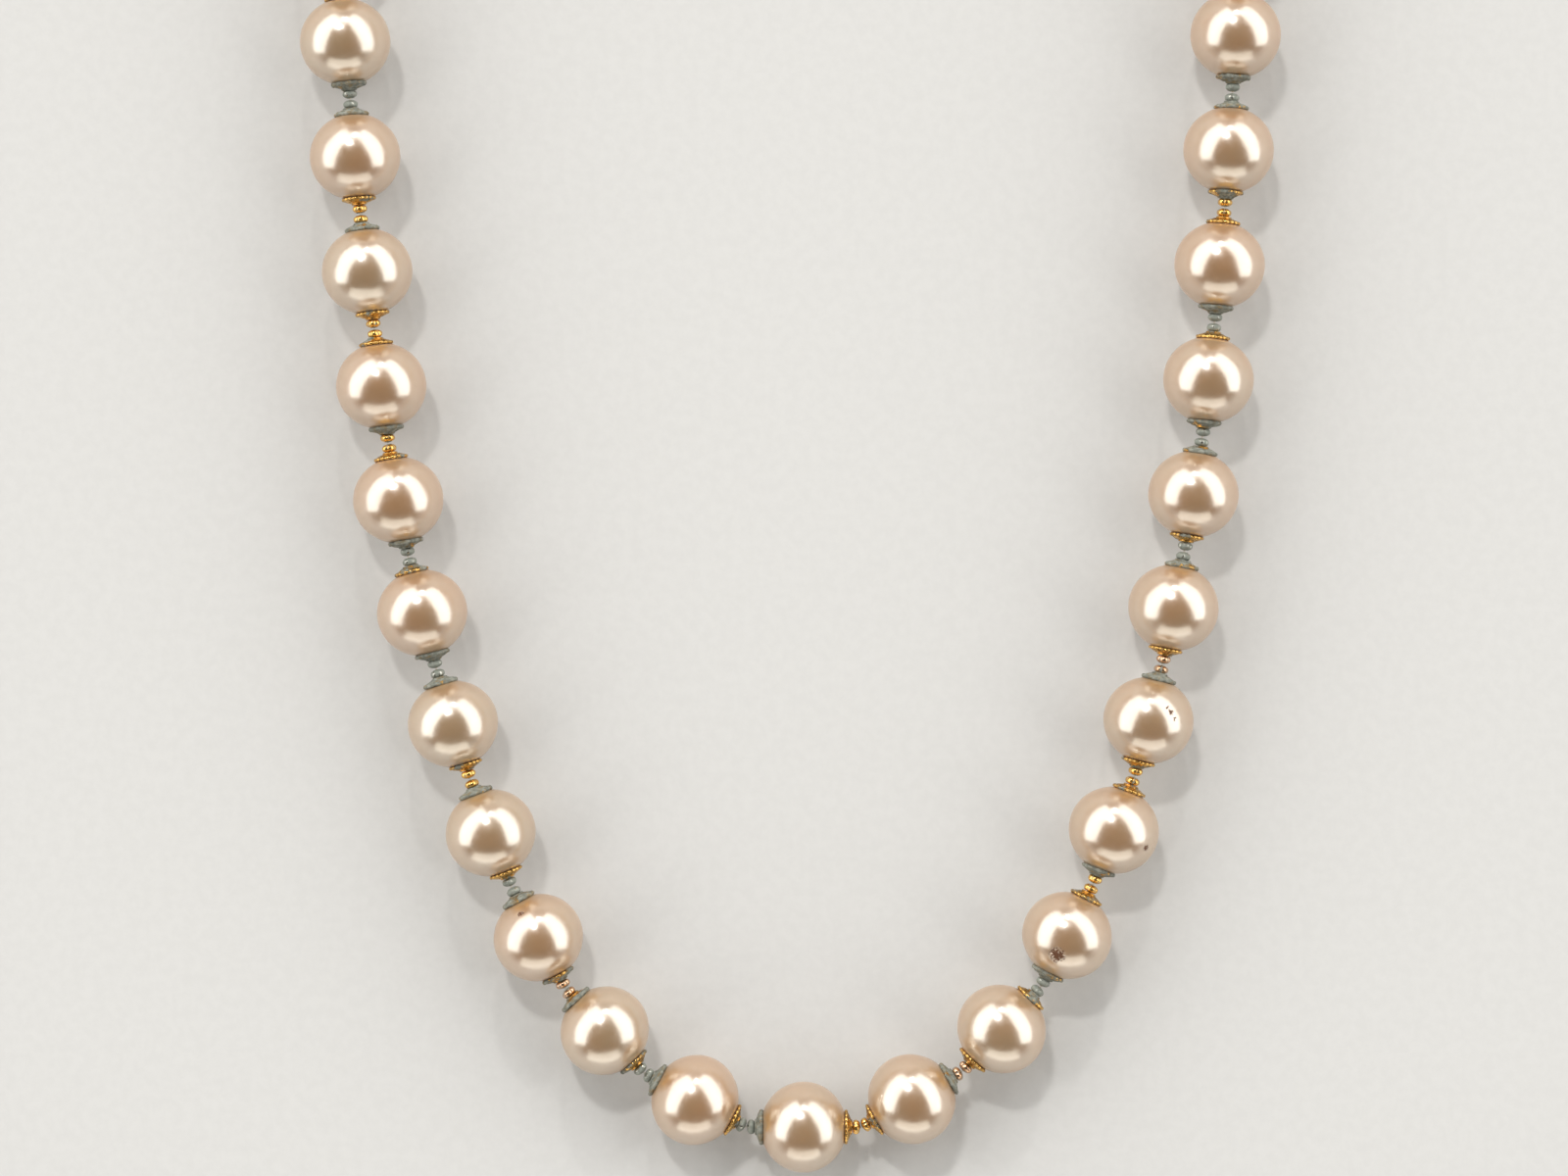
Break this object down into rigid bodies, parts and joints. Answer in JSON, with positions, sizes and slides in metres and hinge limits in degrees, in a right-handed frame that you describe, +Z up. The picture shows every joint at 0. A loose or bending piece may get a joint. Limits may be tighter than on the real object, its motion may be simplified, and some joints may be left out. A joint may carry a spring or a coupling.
{
  "type": "pearl necklace",
  "caption": "Strand of large drilled pearls with bell-shaped metal bead caps and small spacer beads, laid in a U with its hook and eye clasp undone.",
  "frame": {"origin": "on the surface the necklace lies on, under the middle of its outline", "axes": "+Z up from the surface, +Y from the centre pearl to the open clasp ends, +X towards the end with the eye"},
  "size_m": [0.1326, 0.2676, 0.012],
  "materials": {
    "pearl": "champagne nacre coating, satin gloss",
    "capped_pearl": "champagne nacre coating with worn gilt caps",
    "caps_and_beads": "worn gilt with verdigris",
    "clasp": "worn gilt"
  },
  "bodies": {
    "bead_01": {"capped_pearl_01": "capped_pearl", "bead_tip_left": "clasp"},
    "bead_02": {"capped_pearl_02": "capped_pearl"},
    "bead_03": {"capped_pearl_03": "capped_pearl"},
    "bead_04": {"capped_pearl_04": "capped_pearl"},
    "bead_05": {"capped_pearl_05": "capped_pearl"},
    "bead_06": {"capped_pearl_06": "capped_pearl"},
    "bead_07": {"capped_pearl_07": "capped_pearl"},
    "bead_08": {"capped_pearl_08": "capped_pearl"},
    "bead_09": {"pearl_09": "pearl", "findings_09": "caps_and_beads"},
    "bead_10": {"pearl_10": "pearl", "findings_10": "caps_and_beads"},
    "bead_11": {"pearl_11": "pearl", "findings_11": "caps_and_beads"},
    "bead_12": {"pearl_12": "pearl", "findings_12": "caps_and_beads"},
    "bead_13": {"pearl_13": "pearl", "findings_13": "caps_and_beads"},
    "bead_14": {"pearl_14": "pearl", "findings_14": "caps_and_beads"},
    "bead_15": {"pearl_15": "pearl", "findings_15": "caps_and_beads"},
    "bead_16": {"pearl_16": "pearl", "findings_16": "caps_and_beads"},
    "bead_17": {"pearl_17": "pearl", "findings_17": "caps_and_beads"},
    "bead_18": {"pearl_18": "pearl", "findings_18": "caps_and_beads"},
    "bead_19": {"pearl_19": "pearl", "findings_19": "caps_and_beads"},
    "bead_20": {"pearl_20": "pearl", "findings_20": "caps_and_beads"},
    "bead_21": {"pearl_21": "pearl", "findings_21": "caps_and_beads"},
    "bead_22": {"pearl_22": "pearl", "findings_22": "caps_and_beads"},
    "bead_23": {"pearl_23": "pearl", "findings_23": "caps_and_beads"},
    "bead_24": {"pearl_24": "pearl", "findings_24": "caps_and_beads"},
    "bead_25": {"pearl_25": "pearl", "findings_25": "caps_and_beads"},
    "bead_26": {"pearl_26": "pearl", "findings_26": "caps_and_beads"},
    "bead_27": {"pearl_27": "pearl", "findings_27": "caps_and_beads"},
    "bead_28": {"capped_pearl_28": "capped_pearl"},
    "bead_29": {"capped_pearl_29": "capped_pearl"},
    "bead_30": {"capped_pearl_30": "capped_pearl"},
    "bead_31": {"capped_pearl_31": "capped_pearl"},
    "bead_32": {"capped_pearl_32": "capped_pearl"},
    "bead_33": {"capped_pearl_33": "capped_pearl"},
    "bead_34": {"capped_pearl_34": "capped_pearl"},
    "bead_35": {"capped_pearl_35": "capped_pearl", "bead_tip_right": "clasp"},
    "jump_ring_left": {"jump_ring_left": "clasp"},
    "clasp_hook": {"clasp_hook": "clasp"},
    "jump_ring_right": {"jump_ring_right": "clasp"},
    "clasp_eye": {"clasp_eye": "clasp"}
  },
  "joints": [
    {"name": "bend_17", "type": "hinge", "parent": "bead_18", "child": "bead_17", "pos_m": [-0.00556, -0.12779, 0.006], "axis": [0, 0, -1], "range_deg": [-60, 4]},
    {"name": "bend_16", "type": "hinge", "parent": "bead_17", "child": "bead_16", "pos_m": [-0.01907, -0.1206, 0.006], "axis": [0, 0, 1], "range_deg": [-13, 51]},
    {"name": "bend_15", "type": "hinge", "parent": "bead_16", "child": "bead_15", "pos_m": [-0.0295, -0.10941, 0.006], "axis": [0, 0, -1], "range_deg": [-47, 17]},
    {"name": "bend_14", "type": "hinge", "parent": "bead_15", "child": "bead_14", "pos_m": [-0.03669, -0.09591, 0.006], "axis": [0, 0, 1], "range_deg": [-25, 39]},
    {"name": "bend_13", "type": "hinge", "parent": "bead_14", "child": "bead_13", "pos_m": [-0.04217, -0.08162, 0.006], "axis": [0, 0, -1], "range_deg": [-36, 28]},
    {"name": "bend_12", "type": "hinge", "parent": "bead_13", "child": "bead_12", "pos_m": [-0.04664, -0.06699, 0.006], "axis": [0, 0, 1], "range_deg": [-29, 35]},
    {"name": "bend_11", "type": "hinge", "parent": "bead_12", "child": "bead_11", "pos_m": [-0.05035, -0.05214, 0.006], "axis": [0, 0, -1], "range_deg": [-36, 28]},
    {"name": "bend_10", "type": "hinge", "parent": "bead_11", "child": "bead_10", "pos_m": [-0.053, -0.03708, 0.006], "axis": [0, 0, 1], "range_deg": [-29, 35]},
    {"name": "bend_09", "type": "hinge", "parent": "bead_10", "child": "bead_09", "pos_m": [-0.05487, -0.02189, 0.006], "axis": [0, 0, -1], "range_deg": [-32, 32]},
    {"name": "bend_08", "type": "hinge", "parent": "bead_09", "child": "bead_08", "pos_m": [-0.05673, -0.00671, 0.006], "axis": [0, 0, 1], "range_deg": [-30, 34]},
    {"name": "bend_07", "type": "hinge", "parent": "bead_08", "child": "bead_07", "pos_m": [-0.05806, 0.00854, 0.006], "axis": [0, 0, -1], "range_deg": [-32, 32]},
    {"name": "bend_06", "type": "hinge", "parent": "bead_07", "child": "bead_06", "pos_m": [-0.0594, 0.02378, 0.006], "axis": [0, 0, 1], "range_deg": [-30, 34]},
    {"name": "bend_05", "type": "hinge", "parent": "bead_06", "child": "bead_05", "pos_m": [-0.0602, 0.03906, 0.006], "axis": [0, 0, -1], "range_deg": [-34, 30]},
    {"name": "bend_04", "type": "hinge", "parent": "bead_05", "child": "bead_04", "pos_m": [-0.06047, 0.05436, 0.006], "axis": [0, 0, 1], "range_deg": [-30, 34]},
    {"name": "bend_03", "type": "hinge", "parent": "bead_04", "child": "bead_03", "pos_m": [-0.0602, 0.06965, 0.006], "axis": [0, 0, -1], "range_deg": [-34, 30]},
    {"name": "bend_02", "type": "hinge", "parent": "bead_03", "child": "bead_02", "pos_m": [-0.0594, 0.08493, 0.006], "axis": [0, 0, 1], "range_deg": [-30, 34]},
    {"name": "bend_01", "type": "hinge", "parent": "bead_02", "child": "bead_01", "pos_m": [-0.05806, 0.10017, 0.006], "axis": [0, 0, -1], "range_deg": [-33, 31]},
    {"name": "bend_19", "type": "hinge", "parent": "bead_18", "child": "bead_19", "pos_m": [0.00974, -0.12779, 0.006], "axis": [0, 0, 1], "range_deg": [-61, 3]},
    {"name": "bend_20", "type": "hinge", "parent": "bead_19", "child": "bead_20", "pos_m": [0.02312, -0.12037, 0.006], "axis": [0, 0, -1], "range_deg": [-14, 50]},
    {"name": "bend_21", "type": "hinge", "parent": "bead_20", "child": "bead_21", "pos_m": [0.03356, -0.10918, 0.006], "axis": [0, 0, 1], "range_deg": [-48, 16]},
    {"name": "bend_22", "type": "hinge", "parent": "bead_21", "child": "bead_22", "pos_m": [0.0405, -0.09555, 0.006], "axis": [0, 0, -1], "range_deg": [-26, 38]},
    {"name": "bend_23", "type": "hinge", "parent": "bead_22", "child": "bead_23", "pos_m": [0.04598, -0.08126, 0.006], "axis": [0, 0, 1], "range_deg": [-39, 25]},
    {"name": "bend_24", "type": "hinge", "parent": "bead_23", "child": "bead_24", "pos_m": [0.04968, -0.06642, 0.006], "axis": [0, 0, -1], "range_deg": [-29, 35]},
    {"name": "bend_25", "type": "hinge", "parent": "bead_24", "child": "bead_25", "pos_m": [0.0526, -0.0514, 0.006], "axis": [0, 0, 1], "range_deg": [-34, 30]},
    {"name": "bend_26", "type": "hinge", "parent": "bead_25", "child": "bead_26", "pos_m": [0.055, -0.03629, 0.006], "axis": [0, 0, -1], "range_deg": [-29, 35]},
    {"name": "bend_27", "type": "hinge", "parent": "bead_26", "child": "bead_27", "pos_m": [0.0566, -0.02107, 0.006], "axis": [0, 0, 1], "range_deg": [-33, 31]},
    {"name": "bend_28", "type": "hinge", "parent": "bead_27", "child": "bead_28", "pos_m": [0.05793, -0.00583, 0.006], "axis": [0, 0, -1], "range_deg": [-31, 33]},
    {"name": "bend_29", "type": "hinge", "parent": "bead_28", "child": "bead_29", "pos_m": [0.059, 0.00943, 0.006], "axis": [0, 0, 1], "range_deg": [-33, 31]},
    {"name": "bend_30", "type": "hinge", "parent": "bead_29", "child": "bead_30", "pos_m": [0.0598, 0.02471, 0.006], "axis": [0, 0, -1], "range_deg": [-31, 33]},
    {"name": "bend_31", "type": "hinge", "parent": "bead_30", "child": "bead_31", "pos_m": [0.06033, 0.04, 0.006], "axis": [0, 0, 1], "range_deg": [-34, 30]},
    {"name": "bend_32", "type": "hinge", "parent": "bead_31", "child": "bead_32", "pos_m": [0.06033, 0.0553, 0.006], "axis": [0, 0, -1], "range_deg": [-30, 34]},
    {"name": "bend_33", "type": "hinge", "parent": "bead_32", "child": "bead_33", "pos_m": [0.0598, 0.07059, 0.006], "axis": [0, 0, 1], "range_deg": [-34, 30]},
    {"name": "bend_34", "type": "hinge", "parent": "bead_33", "child": "bead_34", "pos_m": [0.05873, 0.08586, 0.006], "axis": [0, 0, -1], "range_deg": [-30, 34]},
    {"name": "bend_35", "type": "hinge", "parent": "bead_34", "child": "bead_35", "pos_m": [0.05713, 0.10107, 0.006], "axis": [0, 0, 1], "range_deg": [-33, 31]},
    {"name": "ring_swing_left", "type": "hinge", "parent": "bead_01", "child": "jump_ring_left", "pos_m": [-0.05609, 0.11892, 0.006], "axis": [0.9945, -0.1045, 0], "range_deg": [0, 90]},
    {"name": "hook_swing", "type": "hinge", "parent": "jump_ring_left", "child": "clasp_hook", "pos_m": [-0.05573, 0.12237, 0.0016], "axis": [0.9945, -0.1045, 0], "range_deg": [0, 90]},
    {"name": "ring_swing_right", "type": "hinge", "parent": "bead_35", "child": "jump_ring_right", "pos_m": [0.05484, 0.11978, 0.006], "axis": [0.9925, 0.1219, 0], "range_deg": [0, 90]},
    {"name": "eye_swing", "type": "hinge", "parent": "jump_ring_right", "child": "clasp_eye", "pos_m": [0.05441, 0.12322, 0.0016], "axis": [0.9925, 0.1219, 0], "range_deg": [0, 90]}
  ]
}
